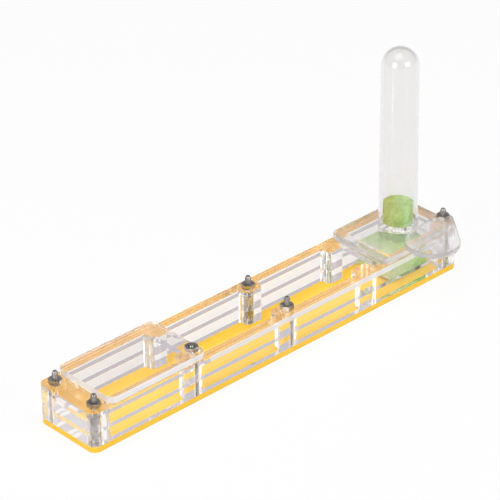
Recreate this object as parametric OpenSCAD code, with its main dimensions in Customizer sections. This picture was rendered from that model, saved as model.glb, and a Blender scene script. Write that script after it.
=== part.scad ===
// Ant habitat: clear acrylic frames on a yellow floor, clamped by small screws,
// with a test tube of water standing mouth down in the cover at the right end.
// The origin is the middle of the underside of the body, x along its length, y to the back.

/* [Body] */
// Length of the body
body_l = 157; // [150:0.5:180]
// Width of the body
body_w = 25.6; // [25.2:0.2:34]
// Radius of the upright outer corners
corner_r = 2.6; // [0.5:0.1:3.5]
// Thickness of the long walls
wall = 3.3; // [2:0.1:3.8]
// Length of the solid block at the left end
end_block_l = 7.8; // [7.5:0.1:12]
// Thickness of the right end wall
end_wall = 3; // [2:0.1:4]
// Radius of the upright inner corners of the chambers
chamber_r = 1; // [0.3:0.1:1.5]

/* [Sheets] */
// Thickness of the yellow base plate
base_t = 2; // [1.5:0.1:4]
// Thickness of each of the two chamber frames
frame_t = 4.8; // [3:0.1:8]
// Thickness of the thin top frame
rim_t = 2; // [1.5:0.1:4]
// Thickness of the lid over the left chamber
lid_t = 2.3; // [1.5:0.1:3]
// Thickness of the cover that holds the test tube
cover_t = 2.3; // [1.5:0.1:3]
// Thickness of the swing cap
cap_t = 1.8; // [1.5:0.1:3]
// Air film between sheets that are laid on each other
film = 0.05; // [0.02:0.01:0.1]

/* [Bosses] */
// Length of a boss along a long wall
boss_l = 7.2; // [6:0.1:9]
// Depth of a boss from the outside of the body
boss_d = 6.8; // [6:0.1:7.5]
// Radius of the upright corners of a boss
boss_r = 2; // [0.5:0.1:2.5]
// Radius of the hollow corner between a boss and its wall
boss_fillet_r = 1; // [0.3:0.1:1.5]
// Length of the bosses in the right corners, from the right end
end_boss_l = 7.5; // [6:0.1:9]
// Shift of the lid's and the middle's front boss along the wall from their screws
front_boss_shift = -1.8; // [-2:0.1:0]
// Shift of the lid's and the middle's back boss along the wall from the screws
back_boss_shift = 0.5; // [0:0.1:1]
// Shift of the front doorway boss along the wall from the middle of the doorway
doorway_boss_shift = -3.1; // [-4:0.1:0]
// Distance from the left end to the middle screws
middle_x = 83.2; // [75:0.1:90]
// Distance from the right end to the doorway by the tube chamber
doorway_end_x = 37; // [32:0.1:47]

/* [Bridges] */
// Width of the bridge that the lid closes on
lid_bridge_w = 4.4; // [3:0.1:6]
// Distance from the lid screw's axis to the near side of its bridge
lid_bridge_offset = 1.4; // [0:0.1:3]
// Width of the bridge that the cover closes on
cover_bridge_w = 4.4; // [3:0.1:6]
// Distance from the doorway's middle to the near side of its bridge
cover_bridge_offset = 3.5; // [0:0.1:5]

/* [Screws and nuts] */
// Diameter of a screw
screw_d = 1.95; // [1.5:0.05:2.5]
// Radial clearance of a screw in its holes
screw_clearance = 0.08; // [0.02:0.01:0.1]
// Distance of the screws from the sides, and of the left ones from the left end
screw_inset = 3.9; // [3.5:0.1:4.5]
// Distance of the right screws from the right end
right_inset = 3.2; // [3:0.1:4.5]
// Distance from the left end to the lid screw
lid_screw_x = 43; // [35:0.1:55]
// Length of an ordinary screw
screw_l = 18; // [18:0.5:22]
// Length of the screw that the lid turns on
lid_screw_l = 17.9; // [17.8:0.1:21]
// Length of the screw that carries the swing cap
cap_screw_l = 21.7; // [20.5:0.1:26]
// Diameter of the countersunk screw head
head_d = 3.8; // [3:0.1:4.2]
// Height of the countersunk screw head
head_h = 1.2; // [0.8:0.05:1.4]
// Depth of the screw head below the underside
head_recess = 0.1; // [0.05:0.05:0.2]
// Width of a nut across its flats
nut_w = 4; // [3.5:0.1:4.5]
// Thickness of a nut
nut_t = 1.6; // [1.2:0.1:2]
// Radial clearance of a nut on its screw
nut_clearance = 0.03; // [0.01:0.01:0.08]

/* [Lid] */
// Distance from the left end to the lid's left edge
lid_start = 7.7; // [7:0.1:9]
// Distance from the lid screw to the lid's right edge
lid_past_screw = 3.1; // [3:0.1:5]
// Distance from the body's front to the lid's front edge
lid_front_gap = 0.4; // [0:0.1:1]
// Radius of the lid's corners
lid_r = 2.5; // [0.5:0.1:3]

/* [Tube cover] */
// Length of the cover
cover_l = 33.4; // [33:0.1:40]
// Distance from the body's front to the cover's front edge
cover_front_gap = 0.4; // [0:0.1:1]
// Radius of the cover's corners
cover_r = 2.5; // [0.5:0.1:3]

/* [Swing cap] */
// Radius of the round end that covers the tube hole
cap_r = 9; // [8:0.1:10]
// Radius of the end around the screw
cap_neck_r = 3.5; // [3.2:0.1:4.5]
// Gap between the open cap's round end and the tube
cap_tube_gap = 3.3; // [1:0.1:8]

/* [Test tube] */
// Outer diameter of the test tube at its mouth
tube_d = 13; // [11:0.1:13.2]
// Outer diameter of the test tube where its round end begins
tube_top_d = 12.2; // [10:0.1:13]
// Thickness of the tube's glass
tube_wall = 0.8; // [0.5:0.05:1.2]
// Length of the tube
tube_l = 68.3; // [50:0.1:100]
// Distance from the right end to the tube's axis
tube_end_x = 12.8; // [12.8:0.1:14]
// Distance from the body's back to the tube's axis
tube_back_y = 10.6; // [10.5:0.1:12.5]
// Radial clearance of the tube in the cover
tube_clearance = 0.1; // [0.05:0.05:0.3]

/* [Sponges] */
// Radial clearance of the sponge plug in the tube
plug_clearance = 0.9; // [0.3:0.05:1]
// Height of the sponge plug
plug_h = 8.2; // [6:0.1:20]
// Height of the plug's underside above the mouth of the tube
plug_depth = 5.5; // [1:0.1:10]
// Length of the sponge block in the chamber
sponge_l = 16.6; // [12:0.1:20]
// Width of the gap between the sponge block and the front wall
sponge_front_gap = 3.4; // [0.5:0.1:6]
// Width of the gap between the sponge block and the back wall
sponge_back_gap = 1.5; // [0.5:0.1:6]
// Height of the sponge block
sponge_h = 8.4; // [5:0.1:9.5]
// Distance from the right end to the sponge block's right side
sponge_end_x = 9.2; // [8.5:0.1:12]
// Clearance around a soft piece
soft_clearance = 0.3; // [0.2:0.05:0.5]

/* [Hidden] */
$fn = 96;
cut_over = 0.5;
arc_steps = 40;
hex_sides = 6;
clear = [0.92, 0.93, 0.95, 0.35];
left = -body_l / 2;
right = body_l / 2;
front = -body_w / 2;
back = body_w / 2;
lower_z = base_t + film;
upper_z = lower_z + frame_t + film;
rim_z = upper_z + frame_t + film;
top_z = rim_z + rim_t;
lid_z = top_z + film;
cover_z = top_z + film;
cap_z = cover_z + cover_t + film;
hole_r = screw_d / 2 + screw_clearance;
nut_hole_r = screw_d / 2 + nut_clearance;
lid_screw_at = left + lid_screw_x;
middle_at = left + middle_x;
doorway_at = right - doorway_end_x;
front_row = front + screw_inset;
back_row = back - screw_inset;
tube_at = [right - tube_end_x, back - tube_back_y];
cap_pivot = [right - right_inset, front_row];
cover_screw_at = [right - right_inset, back_row];
cap_reach = norm(tube_at - cap_pivot);
cap_closed_angle = atan2(tube_at.y - cap_pivot.y, tube_at.x - cap_pivot.x);
cap_open_angle = 2 * asin((cap_r + tube_d / 2 + cap_tube_gap) / (2 * cap_reach));
tube_hole_r = tube_d / 2 + tube_clearance;
tube_bore_r = tube_d / 2 - tube_wall;
tube_top_r = tube_top_d / 2;
sponge_z = lower_z + soft_clearance;
tube_z = sponge_z + sponge_h + soft_clearance;
head_hole_r = head_d / 2 + screw_clearance;

// Each screw: its name, its place, the height that its nut sits at, its length.
SCREWS = [
    ["end_back", [left + screw_inset, back_row], top_z, screw_l],
    ["end_front", [left + screw_inset, front_row], top_z, screw_l],
    ["lid", [lid_screw_at, front_row], lid_z + lid_t, lid_screw_l],
    ["middle_back", [middle_at, back_row], top_z, screw_l],
    ["middle_front", [middle_at, front_row], top_z, screw_l],
    ["cap", cap_pivot, cap_z + cap_t, cap_screw_l],
    ["cover", cover_screw_at, cover_z + cover_t, screw_l],
];
// Bosses along the long walls: the middle of each, and -1 for the front wall or 1 for the back
WALL_BOSSES = [
    [lid_screw_at + front_boss_shift, -1],
    [lid_screw_at + back_boss_shift, 1],
    [middle_at + front_boss_shift, -1],
    [middle_at + back_boss_shift, 1],
    [doorway_at + doorway_boss_shift, -1],
    [doorway_at, 1],
];

// Flat rectangle with round corners, from its low corner a to its high corner b
module round_rect(a, b, r) {
    translate(a + [r, 0]) square([b.x - a.x - 2 * r, b.y - a.y]);
    translate(a + [0, r]) square([b.x - a.x, b.y - a.y - 2 * r]);
    for (x = [a.x + r, b.x - r], y = [a.y + r, b.y - r])
        translate([x, y]) circle(r);
}

module body_plan() {
    round_rect([left, front], [right, back], corner_r);
}

module chamber_plan() {
    round_rect([left + end_block_l, front + wall], [right - end_wall, back - wall], chamber_r);
}

// Hollow corner with its sharp point at the place given, open towards sx and sy
module hollow_corner(place, sx, sy, r) {
    translate(place) scale([sx, sy]) difference() {
        square(r);
        translate([r, r]) circle(r);
    }
}

// Boss on a long wall; side is -1 for the front wall and 1 for the back wall
module wall_boss(x, side) {
    outer = side * back;
    inner = outer - side * boss_d;
    face = outer - side * wall;
    low = min(outer - side * wall / 2, inner);
    high = max(outer - side * wall / 2, inner);
    round_rect([x - boss_l / 2, low], [x + boss_l / 2, high], boss_r);
    translate([x - boss_l / 2, min(face, outer - side * wall / 2)])
        square([boss_l, wall / 2]);
    for (s = [-1, 1])
        hollow_corner([x + s * boss_l / 2, face], s, -side, boss_fillet_r);
}

// Boss in a right corner, around its screw and joined to the end wall
module end_boss(side) {
    outer = side * back;
    inner = outer - side * boss_d;
    x_in = right - end_boss_l;
    face = outer - side * wall;
    low = min(outer - side * wall / 2, inner);
    high = max(outer - side * wall / 2, inner);
    round_rect([x_in, low], [right - end_wall / 2, high], boss_r);
    translate([right - end_wall, low]) square([end_wall / 2, high - low]);
    translate([x_in, min(face, outer - side * wall / 2)])
        square([right - end_wall / 2 - x_in, wall / 2]);
    hollow_corner([x_in, face], -1, -side, boss_fillet_r);
    hollow_corner([right - end_wall, inner], -1, -side, boss_fillet_r);
}

module screw_holes(places, r) {
    for (p = places) translate(p) circle(r);
}

// Outline shared by the frames: outer wall, bosses and screw holes, and bridges if asked for
module frame_plan(bridges) {
    difference() {
        union() {
            difference() {
                body_plan();
                chamber_plan();
            }
            for (b = WALL_BOSSES) wall_boss(b[0], b[1]);
            for (side = [-1, 1]) end_boss(side);
            if (bridges) bridge_plan();
        }
        screw_holes([for (s = SCREWS) s[1]], hole_r);
    }
}

// Bridges over the two doorways, which the lid and the cover close on
module bridge_plan() {
    translate([lid_screw_at - lid_bridge_offset, front + wall / 2])
        square([lid_bridge_w, body_w - wall]);
    translate([doorway_at + cover_bridge_offset, front + wall / 2])
        square([cover_bridge_w, body_w - wall]);
}

module base_plate() {
    color([1, 0.8, 0.2]) difference() {
        linear_extrude(base_t) difference() {
            body_plan();
            screw_holes([for (s = SCREWS) s[1]], hole_r);
        }
        for (s = SCREWS) translate(s[1]) {
            translate([0, 0, -cut_over]) cylinder(h = cut_over + head_recess, r = head_hole_r);
            translate([0, 0, head_recess]) cylinder(h = head_h, r1 = head_hole_r, r2 = hole_r);
        }
    }
}

module lower_frame() {
    color(clear) translate([0, 0, lower_z]) linear_extrude(frame_t) frame_plan(false);
}

module upper_frame() {
    color(clear) translate([0, 0, upper_z]) linear_extrude(frame_t) frame_plan(false);
}

module rim_frame() {
    color(clear) translate([0, 0, rim_z]) linear_extrude(rim_t) frame_plan(true);
}

// Lid of the left chamber; its front right corner is round about the screw that it turns on
module left_lid() {
    lid_right = lid_screw_at + lid_past_screw;
    lid_front = front + lid_front_gap;
    color(clear) translate([0, 0, lid_z]) linear_extrude(lid_t) difference() {
        round_rect([left + lid_start, lid_front], [lid_right, back], lid_r);
        translate([lid_screw_at, front_row]) circle(hole_r);
    }
}

module tube_cover() {
    color(clear) translate([0, 0, cover_z]) linear_extrude(cover_t) difference() {
        round_rect([right - cover_l, front + cover_front_gap], [right, back], cover_r);
        translate(tube_at) circle(tube_hole_r);
        screw_holes([cap_pivot, cover_screw_at], hole_r);
    }
}

// Teardrop outline along x: a small arc about the origin and a large arc at the reach,
// joined by their common tangents
module teardrop(reach, r_big, r_small) {
    tilt = acos((r_big - r_small) / reach);
    turn = 180 - tilt;
    small_turns = [for (i = [0:arc_steps]) turn + 2 * tilt * i / arc_steps];
    big_turns = [for (i = [0:arc_steps]) -turn + 2 * turn * i / arc_steps];
    small_arc = [for (a = small_turns) r_small * [cos(a), sin(a)]];
    big_arc = [for (a = big_turns) [reach, 0] + r_big * [cos(a), sin(a)]];
    polygon(concat(small_arc, big_arc));
}

module swing_cap() {
    color(clear) translate([cap_pivot.x, cap_pivot.y, cap_z])
        rotate(cap_closed_angle + cap_open_angle) linear_extrude(cap_t) difference() {
            teardrop(cap_reach, cap_r, cap_neck_r);
            circle(hole_r);
        }
}

// Half profile of the tube or its bore: mouth down at the height start, narrower towards the
// round end, which is up
module tube_profile(start, r, r_top) {
    shoulder = tube_l - tube_top_r;
    polygon([[0, start], [r, start], [r_top, shoulder], [0, shoulder]]);
    translate([0, shoulder]) intersection() {
        circle(r_top);
        square(r_top);
    }
}

module test_tube() {
    color(clear) translate([tube_at.x, tube_at.y, tube_z]) rotate_extrude()
        difference() {
            tube_profile(0, tube_d / 2, tube_top_r);
            tube_profile(-cut_over, tube_bore_r, tube_top_r - tube_wall);
        }
}

module tube_plug() {
    color([0.6, 0.72, 0.35]) translate([tube_at.x, tube_at.y, tube_z + plug_depth])
        cylinder(h = plug_h, r = tube_bore_r - plug_clearance);
}

module chamber_sponge() {
    color([0.58, 0.75, 0.4])
        translate([right - sponge_end_x - sponge_l, front + wall + sponge_front_gap, sponge_z])
            cube([sponge_l, body_w - 2 * wall - sponge_front_gap - sponge_back_gap, sponge_h]);
}

module screw(s) {
    color([0.62, 0.62, 0.6]) translate([s[1].x, s[1].y, head_recess]) {
        cylinder(h = head_h, r1 = head_d / 2, r2 = screw_d / 2);
        cylinder(h = s[3] - head_recess, r = screw_d / 2);
    }
}

module nut(s) {
    color([0.6, 0.6, 0.58]) translate([s[1].x, s[1].y, s[2]]) difference() {
        cylinder(h = nut_t, r = nut_w / 2 / cos(180 / hex_sides), $fn = hex_sides);
        translate([0, 0, -cut_over]) cylinder(h = nut_t + 2 * cut_over, r = nut_hole_r);
    }
}

base_plate();
lower_frame();
upper_frame();
rim_frame();
left_lid();
tube_cover();
swing_cap();
test_tube();
tube_plug();
chamber_sponge();
for (s = SCREWS) screw(s);
for (s = SCREWS) nut(s);
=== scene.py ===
# Ant habitat: clear sheets on a yellow floor, nuts and screws, green sponges and a water tube
import math

import bmesh
import bpy
from mathutils import Matrix, Vector, noise


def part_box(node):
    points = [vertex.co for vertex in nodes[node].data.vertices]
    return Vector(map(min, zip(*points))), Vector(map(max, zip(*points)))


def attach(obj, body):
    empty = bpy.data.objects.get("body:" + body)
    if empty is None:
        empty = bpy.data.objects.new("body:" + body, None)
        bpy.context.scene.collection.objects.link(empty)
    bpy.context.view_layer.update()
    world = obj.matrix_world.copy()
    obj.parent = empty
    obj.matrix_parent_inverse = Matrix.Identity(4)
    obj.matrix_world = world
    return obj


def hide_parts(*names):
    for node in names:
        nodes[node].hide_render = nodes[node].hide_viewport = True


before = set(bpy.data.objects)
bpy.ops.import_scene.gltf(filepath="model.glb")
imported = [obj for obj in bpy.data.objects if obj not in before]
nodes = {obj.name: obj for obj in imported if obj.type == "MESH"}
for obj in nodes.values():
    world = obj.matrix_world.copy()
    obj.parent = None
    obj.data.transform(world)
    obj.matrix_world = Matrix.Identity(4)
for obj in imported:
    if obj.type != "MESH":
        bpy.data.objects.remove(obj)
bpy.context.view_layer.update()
scene = bpy.context.scene

# Lengths and places are in mm unless a line says otherwise; texture scales are per metre
MM = 0.001
PICTURE_WIDTH = 500


def mm(vector):
    return Vector(vector) * MM


# Camera at the photograph's viewing angle
VIEW_AZIMUTH = 0.74758
VIEW_ELEVATION = 0.52727
VIEW_ROLL = -0.01449
VIEW_DISTANCE = 929.14
VIEW_TARGET = (29.15, 34.125, 7.0)
VIEW_FOCAL_PX = 2829.63
SENSOR = 36.0
CLIP_NEAR = 20
CLIP_FAR = 20000


def make_camera():
    ahead = Vector((
        math.sin(VIEW_AZIMUTH) * math.cos(VIEW_ELEVATION),
        math.cos(VIEW_AZIMUTH) * math.cos(VIEW_ELEVATION),
        -math.sin(VIEW_ELEVATION),
    ))
    level = Vector((math.cos(VIEW_AZIMUTH), -math.sin(VIEW_AZIMUTH), 0.0))
    upright = level.cross(ahead)
    c, s = math.cos(VIEW_ROLL), math.sin(VIEW_ROLL)
    side = c * level + s * upright
    up = -s * level + c * upright
    data = bpy.data.cameras.new("camera")
    data.sensor_width = SENSOR
    data.lens = VIEW_FOCAL_PX / PICTURE_WIDTH * SENSOR
    data.clip_start = CLIP_NEAR * MM
    data.clip_end = CLIP_FAR * MM
    camera = bpy.data.objects.new("camera", data)
    scene.collection.objects.link(camera)
    turn = Matrix((side, up, -ahead)).transposed().to_4x4()
    eye = mm(VIEW_TARGET) - ahead * VIEW_DISTANCE * MM
    camera.matrix_world = Matrix.Translation(eye) @ turn
    scene.camera = camera


make_camera()


# Node helpers; a range is a pair of its low and its high value
def new_material(name):
    material = bpy.data.materials.new(name)
    material.use_nodes = True
    tree = material.node_tree
    return material, tree, tree.nodes["Principled BSDF"]


def add(tree, kind, **settings):
    node = tree.nodes.new(kind)
    for key, value in settings.items():
        setattr(node, key, value)
    return node


def object_coords(tree, scale=(1, 1, 1)):
    coords = add(tree, "ShaderNodeTexCoord")
    mapping = add(tree, "ShaderNodeMapping")
    mapping.inputs["Scale"].default_value = scale
    tree.links.new(coords.outputs["Object"], mapping.inputs["Vector"])
    return mapping.outputs["Vector"]


def noise_texture(tree, vector, scale, detail, roughness=0.5):
    node = add(tree, "ShaderNodeTexNoise")
    node.inputs["Scale"].default_value = scale
    node.inputs["Detail"].default_value = detail
    node.inputs["Roughness"].default_value = roughness
    tree.links.new(vector, node.inputs["Vector"])
    return node.outputs["Fac"]


def map_range(tree, value, given, wanted):
    node = add(tree, "ShaderNodeMapRange")
    for key, number in zip(("From Min", "From Max", "To Min", "To Max"), (*given, *wanted)):
        node.inputs[key].default_value = number
    tree.links.new(value, node.inputs["Value"])
    return node.outputs["Result"]


def ramp(tree, value, stops):
    node = add(tree, "ShaderNodeValToRGB")
    elements = node.color_ramp.elements
    while len(elements) < len(stops):
        elements.new(0.5)
    for element, (place, colour) in zip(elements, stops):
        element.position = place
        element.color = (*colour, 1.0)
    tree.links.new(value, node.inputs["Fac"])
    return node.outputs["Color"]


def bump(tree, height, strength, depth):
    node = add(tree, "ShaderNodeBump")
    node.inputs["Strength"].default_value = strength
    node.inputs["Distance"].default_value = depth * MM
    tree.links.new(height, node.inputs["Height"])
    return node.outputs["Normal"]


def math_node(tree, operation, *values):
    node = add(tree, "ShaderNodeMath", operation=operation)
    for socket, value in zip(node.inputs, values):
        if isinstance(value, (int, float)):
            socket.default_value = value
        else:
            tree.links.new(value, socket)
    return node.outputs["Value"]


def along(tree, start, end):
    # 0 at the point start and 1 at the point end
    start, end = mm(start), mm(end)
    way = end - start
    node = add(tree, "ShaderNodeVectorMath", operation="DOT_PRODUCT")
    tree.links.new(object_coords(tree), node.inputs[0])
    node.inputs[1].default_value = way / way.length_squared
    low = start.dot(way) / way.length_squared
    return map_range(tree, node.outputs["Value"], (low, low + 1.0), (0.0, 1.0))


def inside_box(tree, low, high):
    # 1 between two corners given by x and y, and 0 elsewhere
    place = add(tree, "ShaderNodeSeparateXYZ")
    tree.links.new(object_coords(tree), place.inputs["Vector"])
    within = [
        math_node(tree, "COMPARE", place.outputs[axis], (a + b) / 2 * MM, (b - a) / 2 * MM)
        for axis, a, b in zip("XY", low, high)
    ]
    return math_node(tree, "MULTIPLY", *within)


def cut_edge_share(tree):
    # 1 on the upright cut edges of a sheet and 0 on its flat faces
    geometry = add(tree, "ShaderNodeNewGeometry")
    parts = add(tree, "ShaderNodeSeparateXYZ")
    tree.links.new(geometry.outputs["True Normal"], parts.inputs["Vector"])
    upward = math_node(tree, "ABSOLUTE", parts.outputs["Z"])
    return math_node(tree, "LESS_THAN", upward, 0.5)


# Materials
ACRYLIC_IOR = 1.49
EDGE_WAVE_DEPTH = 0.02


def clear_acrylic(
    name, tint, edge_wave, roughness, edge_white=0.0, edge_rough=0.25, painted_highlight_box=None, milk=0.0,
):
    # Cast clear sheet, with faint upright waves on its laser-cut edges, which may be satin white,
    # all of them, or only those in a box as a painted highlight on those faces; milk clouds the
    # whole sheet a little
    material, tree, shader = new_material(name)
    shader.inputs["Base Color"].default_value = (*tint, 1.0)
    shader.inputs["Transmission Weight"].default_value = 1.0
    shader.inputs["IOR"].default_value = ACRYLIC_IOR
    edge = cut_edge_share(tree)
    waves = noise_texture(tree, object_coords(tree, (1, 1, 0.06)), scale=1500.0, detail=2.0)
    waves = math_node(tree, "MULTIPLY", waves, edge)
    tree.links.new(bump(tree, waves, edge_wave, EDGE_WAVE_DEPTH), shader.inputs["Normal"])
    clouds = noise_texture(tree, object_coords(tree), scale=60.0, detail=4.0)
    haze = map_range(tree, clouds, (0.3, 0.75), (0.0, roughness))
    if edge_white:
        satin_and_highlight = edge
        # Inside the box the whiter face is a painted highlight on that face, not a finish of the
        # whole edge
        if painted_highlight_box:
            satin_and_highlight = math_node(tree, "MULTIPLY", edge, inside_box(tree, *painted_highlight_box))
        clear = map_range(tree, satin_and_highlight, (0.0, 1.0), (1.0 - milk, 1.0 - edge_white))
        tree.links.new(clear, shader.inputs["Transmission Weight"])
        haze = math_node(tree, "ADD", haze, math_node(tree, "MULTIPLY", satin_and_highlight, edge_rough))
    tree.links.new(haze, shader.inputs["Roughness"])
    return material


def yellow_acrylic():
    # Opaque yellow sheet with a gloss, slightly uneven in tone
    material, tree, shader = new_material("yellow_acrylic")
    clouds = noise_texture(tree, object_coords(tree), scale=45.0, detail=4.0)
    tone = ramp(tree, clouds, [(0.3, (0.96, 0.585, 0.030)), (0.7, (1.0, 0.625, 0.042))])
    tree.links.new(tone, shader.inputs["Base Color"])
    dust = noise_texture(tree, object_coords(tree), scale=900.0, detail=3.0)
    tree.links.new(map_range(tree, dust, (0.35, 0.7), (0.12, 0.24)), shader.inputs["Roughness"])
    waves = noise_texture(tree, object_coords(tree, (1, 1, 0.05)), scale=1800.0, detail=2.0)
    tree.links.new(bump(tree, waves, strength=0.12, depth=0.03), shader.inputs["Normal"])
    shader.inputs["IOR"].default_value = ACRYLIC_IOR
    return material


def steel():
    # Bright nickel-like steel with fine turning marks and broad duller patches
    material, tree, shader = new_material("steel")
    shader.inputs["Metallic"].default_value = 1.0
    fine = noise_texture(tree, object_coords(tree), scale=1600.0, detail=3.0)
    broad = noise_texture(tree, object_coords(tree), scale=260.0, detail=2.0)
    tone = ramp(tree, broad, [(0.35, (0.34, 0.33, 0.31)), (0.7, (0.62, 0.60, 0.58))])
    tree.links.new(tone, shader.inputs["Base Color"])
    tree.links.new(map_range(tree, fine, (0.3, 0.7), (0.08, 0.20)), shader.inputs["Roughness"])
    tree.links.new(bump(tree, fine, strength=0.12, depth=0.03), shader.inputs["Normal"])
    return material


def green_sponge(name, end_tones, start_tones, end_at, start_at):
    # Open-cell sponge: small pores painted darker than the paler walls as painted shade, with a
    # dark and a light tone at its start and at its end, and a point where each is whole
    material, tree, shader = new_material(name)
    pores = add(tree, "ShaderNodeTexVoronoi", feature="F1")
    pores.inputs["Scale"].default_value = 1500.0
    tree.links.new(object_coords(tree), pores.inputs["Vector"])
    depth = pores.outputs["Distance"]
    patches = noise_texture(tree, object_coords(tree), scale=190.0, detail=4.0, roughness=0.6)
    # Pore distance turns the tone darker, a painted shade in the pores; the patches add random
    # tone
    mixed = math_node(
        tree, "ADD",
        math_node(tree, "MULTIPLY", depth, 0.45), math_node(tree, "MULTIPLY", patches, 0.75),
    )
    # Fades from the start tones at start_at to the end tones at end_at
    fade = add(tree, "ShaderNodeMix", data_type="RGBA")
    tree.links.new(along(tree, start_at, end_at), fade.inputs["Factor"])
    for socket, (dark, light) in (("A", start_tones), ("B", end_tones)):
        tree.links.new(ramp(tree, mixed, [(0.35, light), (0.8, dark)]), fade.inputs[socket])
    tree.links.new(fade.outputs["Result"], shader.inputs["Base Color"])
    shader.inputs["Roughness"].default_value = 0.9
    shader.inputs["Sheen Weight"].default_value = 0.15
    shader.inputs["Subsurface Weight"].default_value = 0.15
    shader.inputs["Subsurface Radius"].default_value = mm((0.8, 1.0, 0.5))
    tree.links.new(bump(tree, depth, strength=0.6, depth=0.2), shader.inputs["Normal"])
    return material


SHEET_TINT = (0.985, 0.98, 0.985)
# Faces painted whiter as a painted highlight: the frames' left end face and the rim's open front
# face
LEFT_END_FACE = ((-79.0, -10.0), (-78.3, 10.0))
OPEN_FRONT_FACE = ((-31.5, -13.0), (60.0, -12.7))
SHEET_CLEAR = clear_acrylic(
    "clear_sheet", SHEET_TINT, edge_wave=0.1, roughness=0.015,
    edge_white=0.25, edge_rough=0.05, painted_highlight_box=LEFT_END_FACE,
)
RIM_CLEAR = clear_acrylic(
    "clear_rim", SHEET_TINT, edge_wave=0.1, roughness=0.015,
    edge_white=0.5, painted_highlight_box=OPEN_FRONT_FACE,
)
LID_CLEAR = clear_acrylic(
    "clear_lid", (0.99, 0.985, 0.995), edge_wave=0.2, roughness=0.015, edge_white=0.45,
)
COVER_CLEAR = clear_acrylic(
    "clear_cover", SHEET_TINT, edge_wave=0.2, roughness=0.015, edge_white=0.18, milk=0.07,
)
CAP_CLEAR = clear_acrylic(
    "clear_cap", (0.98, 0.975, 0.98), edge_wave=0.2, roughness=0.04, edge_white=0.2, milk=0.12,
)
TUBE_CLEAR = clear_acrylic(
    "clear_tube", (0.945, 0.946, 0.944), edge_wave=0.0, roughness=0.03,
)
YELLOW = yellow_acrylic()
STEEL = steel()
# Block: paler and greyer at x 54, darker and greener at x 68
SPONGE_BLOCK = green_sponge(
    "sponge_block",
    end_tones=((0.16, 0.38, 0.04), (0.40, 0.72, 0.13)), start_tones=((0.42, 0.52, 0.26), (0.70, 0.80, 0.50)),
    end_at=(68, 0, 0), start_at=(54, 0, 0),
)
# Plug: darker olive towards start_at and paler green towards end_at, a painted shade across its
# side
SPONGE_PLUG = green_sponge(
    "sponge_plug",
    end_tones=((0.28, 0.47, 0.12), (0.55, 0.76, 0.32)), start_tones=((0.28, 0.33, 0.03), (0.58, 0.64, 0.13)),
    end_at=(67.5, 0.6, 0), start_at=(62.2, 5.4, 0),
)


# Sheets: the CAD nodes with their edges eased and their round walls shaded smooth
SHARP_FROM = math.radians(48)
FLAT_WITHIN = math.radians(0.3)
EASED_FROM = math.radians(50)
WELD_REACH = 0.001
CLEAR_EDGE_R = 0.2
YELLOW_EDGE_R = 0.1
SHEETS = (
    ("lower_frame", SHEET_CLEAR, CLEAR_EDGE_R),
    ("upper_frame", SHEET_CLEAR, CLEAR_EDGE_R),
    ("rim_frame", RIM_CLEAR, CLEAR_EDGE_R),
    ("left_lid", LID_CLEAR, CLEAR_EDGE_R),
    ("tube_cover", COVER_CLEAR, CLEAR_EDGE_R),
    ("swing_cap", CAP_CLEAR, CLEAR_EDGE_R),
    ("base_plate", YELLOW, YELLOW_EDGE_R),
)


def smooth_curves():
    # Shades round walls smooth and keeps the edges between flat faces sharp
    group = bpy.data.node_groups.new("smooth_curves", "GeometryNodeTree")
    for way in ("INPUT", "OUTPUT"):
        group.interface.new_socket("Geometry", in_out=way, socket_type="NodeSocketGeometry")
    faces = add(group, "GeometryNodeSetShadeSmooth", domain="FACE")
    edges = add(group, "GeometryNodeSetShadeSmooth", domain="EDGE")
    edges.inputs["Shade Smooth"].default_value = False
    angle = add(group, "GeometryNodeInputMeshEdgeAngle")
    sharp = add(group, "FunctionNodeCompare", data_type="FLOAT", operation="GREATER_THAN")
    sharp.inputs["B"].default_value = SHARP_FROM
    start, end = add(group, "NodeGroupInput"), add(group, "NodeGroupOutput")
    group.links.new(start.outputs["Geometry"], faces.inputs["Geometry"])
    group.links.new(faces.outputs["Geometry"], edges.inputs["Geometry"])
    group.links.new(angle.outputs["Unsigned Angle"], sharp.inputs["A"])
    group.links.new(sharp.outputs["Result"], edges.inputs["Selection"])
    group.links.new(edges.outputs["Geometry"], end.inputs["Geometry"])
    return group


SMOOTH_CURVES = smooth_curves()


def ease_edges(sheet, radius):
    # Rounds the cut edges a little, as the laser's heat leaves them
    weld = sheet.modifiers.new("weld", "WELD")
    weld.merge_threshold = WELD_REACH * MM
    flat = sheet.modifiers.new("flat_faces", "DECIMATE")
    flat.decimate_type = "DISSOLVE"
    flat.angle_limit = FLAT_WITHIN
    edge = sheet.modifiers.new("eased_edges", "BEVEL")
    edge.width = radius * MM
    edge.segments = 2
    edge.limit_method = "ANGLE"
    edge.angle_limit = EASED_FROM
    sheet.modifiers.new("smooth_curves", "NODES").node_group = SMOOTH_CURVES
    weighted = sheet.modifiers.new("flat_first", "WEIGHTED_NORMAL")
    weighted.mode = "FACE_AREA"
    weighted.weight = 60
    weighted.keep_sharp = True


for node, material, edge_r in SHEETS:
    sheet = nodes[node]
    sheet.data.materials.clear()
    sheet.data.materials.append(material)
    ease_edges(sheet, edge_r)


# Helpers for the pieces that take the place of a CAD node
SAME_PLACE = 0.001


def box_of(node):
    # Low corner, high corner and middle of a node
    low, high = (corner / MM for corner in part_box(node))
    return low, high, (low + high) / 2


def moved(bm, x, y, z=0.0, turn=0.0):
    matrix = Matrix.Translation((x, y, z)) @ Matrix.Rotation(turn, 4, "Z")
    bmesh.ops.transform(bm, matrix=matrix, verts=bm.verts)


def whole(bm):
    return bm.verts[:] + bm.edges[:] + bm.faces[:]


def open_rim(bm, height):
    # The open edges at a height
    return [
        e for e in bm.edges
        if e.is_boundary and all(abs(v.co.z - height) < SAME_PLACE for v in e.verts)
    ]


def spread(vertex, radius):
    # Moves a vertex straight out or in to a distance from the z axis
    share = radius / vertex.co.xy.length
    vertex.co.x *= share
    vertex.co.y *= share


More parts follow.
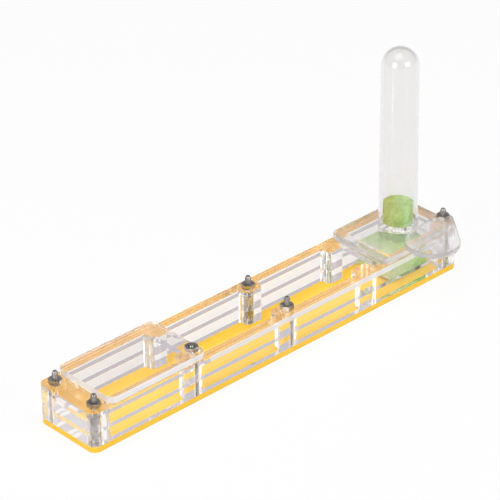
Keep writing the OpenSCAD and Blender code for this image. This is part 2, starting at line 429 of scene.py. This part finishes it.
def spun(bm, profile, steps, turn=2 * math.pi, climb=0.0, closed=False):
    # Turns a profile of (radius, height) points about the z axis
    points = [bm.verts.new((r, 0, z)) for r, z in profile]
    edges = [bm.edges.new(pair) for pair in zip(points, points[1:])]
    if closed:
        edges.append(bm.edges.new((points[-1], points[0])))
    bmesh.ops.spin(
        bm, geom=points + edges, cent=(0, 0, 0), axis=(0, 0, 1), dvec=(0, 0, climb),
        angle=turn, steps=steps, use_merge=climb == 0.0, use_duplicate=False,
    )
    bmesh.ops.remove_doubles(bm, verts=bm.verts, dist=SAME_PLACE / 2)


def piece_from(bm, name, material, body, replaced, sharp_angle=None):
    bm.transform(Matrix.Scale(MM, 4))
    bmesh.ops.recalc_face_normals(bm, faces=bm.faces)
    for face in bm.faces:
        face.smooth = True
    mesh = bpy.data.meshes.new(name)
    bm.to_mesh(mesh)
    bm.free()
    mesh.materials.append(material)
    piece = bpy.data.objects.new(name, mesh)
    scene.collection.objects.link(piece)
    if sharp_angle is not None:
        mesh.set_sharp_from_angle(angle=math.radians(sharp_angle))
    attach(piece, body)
    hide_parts(replaced)
    return piece


# Screws: a helical ridge turned up the shaft, and a countersunk head below
SHAFT_R = 0.97
TIP_H = 0.6
TIP_SLOPE = 0.55
THREAD_STEPS = 16
THREAD_PITCH = 0.4
THREAD_DEPTH = 0.19
CREST_SHARE, ROOT_FROM_SHARE, ROOT_TO_SHARE = 0.12, 0.45, 0.67
THREAD_IN_HEAD = 0.1
HEAD_LOW = 0.1
HEAD_H = 1.2
HEAD_R = 1.9
HEAD_RIM_H = 0.12
HEAD_STEPS = 24
SOCKET_R = 0.75
SOCKET_DEPTH = 0.6
SOCKET_MOUTH_SHARE = 1.25
SCREW_TURN_PER_MM = 0.7
SCREW_SHARP_ANGLE = 40


def thread(bm, low, high):
    root_r = SHAFT_R - THREAD_DEPTH
    turns = math.ceil((high - low) / THREAD_PITCH) + 2
    ridge = (
        (SHAFT_R, 0), (SHAFT_R, CREST_SHARE), (root_r, ROOT_FROM_SHARE), (root_r, ROOT_TO_SHARE),
        (SHAFT_R, 1),
    )
    profile = [(r, low + (share - 1) * THREAD_PITCH) for r, share in ridge]
    spun(bm, profile, THREAD_STEPS * turns, 2 * math.pi * turns, THREAD_PITCH / THREAD_STEPS)
    for height, above in ((low, False), (high, True)):
        cut = bmesh.ops.bisect_plane(
            bm, geom=whole(bm), dist=0.0001, plane_co=(0, 0, height), plane_no=(0, 0, 1),
            clear_outer=above, clear_inner=not above,
        )
        rim = [e for e in cut["geom_cut"] if isinstance(e, bmesh.types.BMEdge)]
        bmesh.ops.edgeloop_fill(bm, edges=rim)


def screw_head(bm):
    # Countersunk head with a hexagon socket in its underside
    top = HEAD_LOW + HEAD_H
    mouth = SOCKET_R * SOCKET_MOUTH_SHARE
    cone = [
        (SHAFT_R, top), (HEAD_R, HEAD_LOW + HEAD_RIM_H), (HEAD_R, HEAD_LOW), (mouth, HEAD_LOW),
    ]
    spun(bm, cone, HEAD_STEPS)
    rim = open_rim(bm, HEAD_LOW)
    at = Matrix.Translation((0, 0, HEAD_LOW))
    hexagon = bmesh.ops.create_circle(bm, segments=6, radius=SOCKET_R, matrix=at)["verts"]
    hex_edges = [e for e in bm.edges if e.verts[0] in hexagon and e.verts[1] in hexagon]
    bmesh.ops.bridge_loops(bm, edges=rim + hex_edges)
    wall = bmesh.ops.extrude_edge_only(bm, edges=hex_edges)["geom"]
    deep = [v for v in wall if isinstance(v, bmesh.types.BMVert)]
    bmesh.ops.translate(bm, verts=deep, vec=(0, 0, SOCKET_DEPTH))
    floor = [e for e in wall if isinstance(e, bmesh.types.BMEdge) and e.is_boundary]
    bmesh.ops.edgeloop_fill(bm, edges=floor)
    bmesh.ops.edgeloop_fill(bm, edges=open_rim(bm, top))


def screw(name):
    low, high, at = box_of("screw_" + name)
    bm = bmesh.new()
    thread(bm, HEAD_LOW + HEAD_H - THREAD_IN_HEAD, high.z)
    for v in bm.verts:
        into_tip = v.co.z - (high.z - TIP_H)
        most = SHAFT_R - into_tip * TIP_SLOPE
        if into_tip > 0 and v.co.xy.length > most:
            spread(v, most)
    head = bmesh.new()
    screw_head(head)
    bmesh.ops.recalc_face_normals(head, faces=head.faces)
    joined = bpy.data.meshes.new("head")
    head.to_mesh(joined)
    head.free()
    bm.from_mesh(joined)
    bpy.data.meshes.remove(joined)
    moved(bm, at.x, at.y, turn=at.x * SCREW_TURN_PER_MM + at.y)
    piece_from(
        bm, "threaded_screw_" + name, STEEL, "housing", "screw_" + name, SCREW_SHARP_ANGLE,
    )


# Nuts: a hexagon with its chamfer and countersunk bore, and how far each is turned in degrees
NUT_FLAT_R = 2.0
NUT_RING_R = 1.97
NUT_MOUTH_R = 1.22
NUT_BORE_R = 1.0
NUT_MOUTH_DEPTH = 0.2
NUT_EASE = 0.02
NUT_CHAMFER = math.radians(30)
NUT_STEPS = 48
NUT_SHARP_ANGLE = 25
CORNER_ANGLE = 60
NUT_TURNS = {
    "end_back": 17, "end_front": 21, "lid": 5, "middle_back": 14, "middle_front": 3,
    "cap": 0, "cover": 17,
}


def nut(name):
    # Hex nut with the corners chamfered at both ends and a countersunk bore
    low, high, at = box_of("nut_" + name)
    thick = high.z - low.z
    profile = [
        (NUT_BORE_R, NUT_MOUTH_DEPTH), (NUT_MOUTH_R, 0), (NUT_RING_R, 0), (NUT_FLAT_R, NUT_EASE),
        (NUT_FLAT_R, thick - NUT_EASE), (NUT_RING_R, thick), (NUT_MOUTH_R, thick),
        (NUT_BORE_R, thick - NUT_MOUTH_DEPTH),
    ]
    bm = bmesh.new()
    spun(bm, profile, NUT_STEPS, closed=True)
    for v in bm.verts:
        if v.co.xy.length > (NUT_RING_R + NUT_FLAT_R) / 2:
            around = math.degrees(math.atan2(v.co.y, v.co.x)) % CORNER_ANGLE - CORNER_ANGLE / 2
            wide = NUT_FLAT_R / math.cos(math.radians(around))
            spread(v, wide)
            drop = (wide - NUT_RING_R) * math.tan(NUT_CHAMFER)
            v.co.z = drop if v.co.z < thick / 2 else thick - drop
    moved(bm, at.x, at.y, low.z, math.radians(NUT_TURNS[name]))
    piece_from(bm, "hex_nut_" + name, STEEL, "housing", "nut_" + name, NUT_SHARP_ANGLE)


for fastener in NUT_TURNS:
    screw(fastener)
    nut(fastener)


# Test tube with a fire-rounded lip, a slight taper and a round end
TUBE_TOP_R = 6.1
TUBE_WALL = 0.8
TUBE_STEPS = 128
DOME_STEPS = 24
LIP_STEPS = 10


def arc(radius, height, start, end, steps, first=0):
    # Points of an arc in radians about a centre on the z axis, all but the last
    angles = [start + (end - start) * i / steps for i in range(first, steps)]
    return [(radius * math.cos(a), height + radius * math.sin(a)) for a in angles]


def test_tube():
    low, high, at = box_of("test_tube")
    outer = (high.x - low.x) / 2
    inner = outer - TUBE_WALL
    middle = (outer + inner) / 2
    lip_r = TUBE_WALL / 2
    lip_z = low.z + lip_r
    dome_z = high.z - TUBE_TOP_R
    outside = arc(TUBE_TOP_R, dome_z, 0, math.pi / 2, DOME_STEPS)
    inside = arc(TUBE_TOP_R - TUBE_WALL, dome_z, 0, math.pi / 2, DOME_STEPS)
    lip = [(middle + x, z) for x, z in arc(lip_r, lip_z, 0, -math.pi, LIP_STEPS, first=1)]
    profile = [(0, high.z), *outside[::-1], (outer, lip_z), *lip, (inner, lip_z), *inside]
    profile.append((0, high.z - TUBE_WALL))
    bm = bmesh.new()
    spun(bm, profile, TUBE_STEPS)
    moved(bm, at.x, at.y)
    piece_from(bm, "round_ended_tube", TUBE_CLEAR, "tube", "test_tube")


test_tube()

# Sponges: how their skin is worn, their round edges and how finely they are cut
GRAIN = 1.6
BROAD_GRAIN_SHARE = 0.25
BROAD_WEAR_SHARE, FINE_WEAR_SHARE = 0.6, 0.4
WEAR_INWARD = 0.5
BLOCK_SEED, PLUG_SEED = 3.1, 7.7
BLOCK_WEAR, PLUG_WEAR = 0.3, 0.16
BLOCK_EDGE_R, PLUG_EDGE_R = 0.7, 0.45
BLOCK_CUTS = (44, 32, 22)
PLUG_STEPS = 90
PLUG_RINGS = 14
PLUG_ROWS = 30
PLUG_EDGE_STEPS = 4


def worn(bm, seed, strength):
    # Moves a sponge's skin in and out so that its faces are uneven and its edges ragged
    bm.normal_update()
    shift = Vector((seed, 2 * seed, -seed))
    moves = []
    for v in bm.verts:
        broad = noise.noise(v.co * GRAIN * BROAD_GRAIN_SHARE + shift)
        fine = noise.noise(v.co * GRAIN + shift)
        share = BROAD_WEAR_SHARE * broad + FINE_WEAR_SHARE * fine - WEAR_INWARD
        moves.append(v.normal * strength * share)
    for v, move in zip(bm.verts, moves):
        v.co += move


def sponge_block():
    low, high, middle = box_of("chamber_sponge")
    size = high - low
    at = Matrix.Translation(middle) @ Matrix.Diagonal((*size, 1))
    bm = bmesh.new()
    bmesh.ops.create_cube(bm, size=1, matrix=at)
    bmesh.ops.bevel(
        bm, geom=bm.edges[:], offset=BLOCK_EDGE_R, segments=3, profile=0.5,
        affect="EDGES", material=-1,
    )
    for axis, count in enumerate(BLOCK_CUTS):
        across = Vector((0, 0, 0))
        across[axis] = 1
        for i in range(1, count):
            point = low + across * size[axis] * i / count
            bmesh.ops.bisect_plane(
                bm, geom=whole(bm), dist=SAME_PLACE, plane_co=point, plane_no=across,
            )
    worn(bm, BLOCK_SEED, BLOCK_WEAR)
    piece = piece_from(
        bm, "chamber_sponge_foam", SPONGE_BLOCK, "housing", "chamber_sponge",
    )


def sponge_plug():
    low, high, at = box_of("tube_plug")
    radius = (high.x - low.x) / 2
    soft = PLUG_EDGE_R
    face = [radius * i / PLUG_RINGS for i in range(PLUG_RINGS)]
    face = [r for r in face if r < radius - soft]
    turns = [math.pi / 2 * i / PLUG_EDGE_STEPS for i in range(PLUG_EDGE_STEPS + 1)]
    edge = [(radius - soft + soft * math.sin(a), soft - soft * math.cos(a)) for a in turns]
    side_h = high.z - low.z - 2 * soft
    side = [low.z + soft + side_h * i / PLUG_ROWS for i in range(1, PLUG_ROWS)]
    profile = [(r, high.z) for r in face] + [(r, high.z - drop) for r, drop in edge]
    profile += [(radius, z) for z in side[::-1]]
    profile += [(r, low.z + rise) for r, rise in edge[::-1]] + [(r, low.z) for r in face[::-1]]
    bm = bmesh.new()
    spun(bm, profile, PLUG_STEPS)
    moved(bm, at.x, at.y)
    worn(bm, PLUG_SEED, PLUG_WEAR)
    piece = piece_from(bm, "tube_plug_foam", SPONGE_PLUG, "tube", "tube_plug")


sponge_block()
sponge_plug()


# Floor, soft light and a white surround; through the clear parts the studio shows pale grey
FLOOR_R = 3000
FLOOR_WHITE_SHARE = 0.88
SEEN_THROUGH = (0.96, 0.945, 0.94)
SEEN_THROUGH_SHARE = 0.8
ROOM_TONES = [
    (0.0, (0.42, 0.41, 0.42)), (0.22, (0.16, 0.16, 0.16)),
    (0.55, (0.30, 0.29, 0.30)), (1.0, (0.60, 0.59, 0.60)),
]
STUDIO_TONES = [
    (0.0, (0.70, 0.69, 0.70)), (0.58, (0.56, 0.53, 0.57)), (1.0, (0.74, 0.73, 0.74)),
]
WHITE = (1, 1, 1, 1)


def glow_mix(tree, shader, ray, share, colour):
    # Lays a plain glow over a shader, by a share, for one kind of ray
    path = add(tree, "ShaderNodeLightPath")
    glow = add(tree, "ShaderNodeEmission")
    glow.inputs["Color"].default_value = colour
    mix = add(tree, "ShaderNodeMixShader")
    tree.links.new(math_node(tree, "MULTIPLY", path.outputs[ray], share), mix.inputs["Fac"])
    tree.links.new(shader, mix.inputs[1])
    tree.links.new(glow.outputs["Emission"], mix.inputs[2])
    return mix.outputs["Shader"]


def make_floor():
    bm = bmesh.new()
    bmesh.ops.create_circle(bm, cap_ends=True, segments=96, radius=FLOOR_R * MM)
    mesh = bpy.data.meshes.new("floor")
    bm.to_mesh(mesh)
    bm.free()
    floor = bpy.data.objects.new("floor", mesh)
    scene.collection.objects.link(floor)
    material, tree, shader = new_material("pale_floor")
    shader.inputs["Base Color"].default_value = (0.86, 0.855, 0.86, 1.0)
    shader.inputs["Roughness"].default_value = 0.7
    shader.inputs["Specular IOR Level"].default_value = 0.1
    seen = glow_mix(tree, shader.outputs["BSDF"], "Is Camera Ray", FLOOR_WHITE_SHARE, WHITE)
    seen = glow_mix(tree, seen, "Is Transmission Ray", SEEN_THROUGH_SHARE, (*SEEN_THROUGH, 1))
    tree.links.new(seen, tree.nodes["Material Output"].inputs["Surface"])
    mesh.materials.append(material)


def make_world():
    world = bpy.data.worlds.new("studio")
    scene.world = world
    world.use_nodes = True
    tree = world.node_tree
    coords = add(tree, "ShaderNodeTexCoord")
    parts = add(tree, "ShaderNodeSeparateXYZ")
    tree.links.new(coords.outputs["Generated"], parts.inputs["Vector"])
    height = map_range(tree, parts.outputs["Z"], (-0.2, 1.0), (0.0, 1.0))
    path = add(tree, "ShaderNodeLightPath")
    through = add(tree, "ShaderNodeMix", data_type="RGBA")
    tree.links.new(path.outputs["Is Transmission Ray"], through.inputs["Factor"])
    tree.links.new(ramp(tree, height, ROOM_TONES), through.inputs["A"])
    tree.links.new(ramp(tree, height, STUDIO_TONES), through.inputs["B"])
    seen = add(tree, "ShaderNodeMix", data_type="RGBA")
    tree.links.new(path.outputs["Is Camera Ray"], seen.inputs["Factor"])
    tree.links.new(through.outputs["Result"], seen.inputs["A"])
    seen.inputs["B"].default_value = WHITE
    tree.links.new(seen.outputs["Result"], tree.nodes["Background"].inputs["Color"])


def softbox(name, place, aim, size, power, mirrored=True):
    # Place, aim and size in metres, power in watts
    data = bpy.data.lights.new(name, "AREA")
    data.shape = "RECTANGLE"
    data.size, data.size_y = size
    data.energy = power
    lamp = bpy.data.objects.new(name, data)
    lamp.visible_glossy = mirrored
    scene.collection.objects.link(lamp)
    place, aim = Vector(place), Vector(aim)
    turn = (aim - place).to_track_quat("-Z", "Y").to_matrix().to_4x4()
    lamp.matrix_world = Matrix.Translation(place) @ turn


make_floor()
make_world()
softbox("softbox_top", (-0.1, 0.05, 0.95), (0, 0, 0.01), (0.7, 0.7), 4.6, mirrored=False)
softbox("softbox_left", (-0.9, -0.1, 0.4), (0, 0, 0.02), (0.5, 0.6), 3.3)
softbox("softbox_front", (0.15, -0.9, 0.4), (0, 0, 0.02), (0.6, 0.5), 3.2)

scene.view_settings.view_transform = "Standard"
scene.cycles.max_bounces = 128
scene.cycles.transmission_bounces = 128
scene.cycles.glossy_bounces = 64
scene.cycles.transparent_max_bounces = 16
scene.cycles.blur_glossy = 0.0
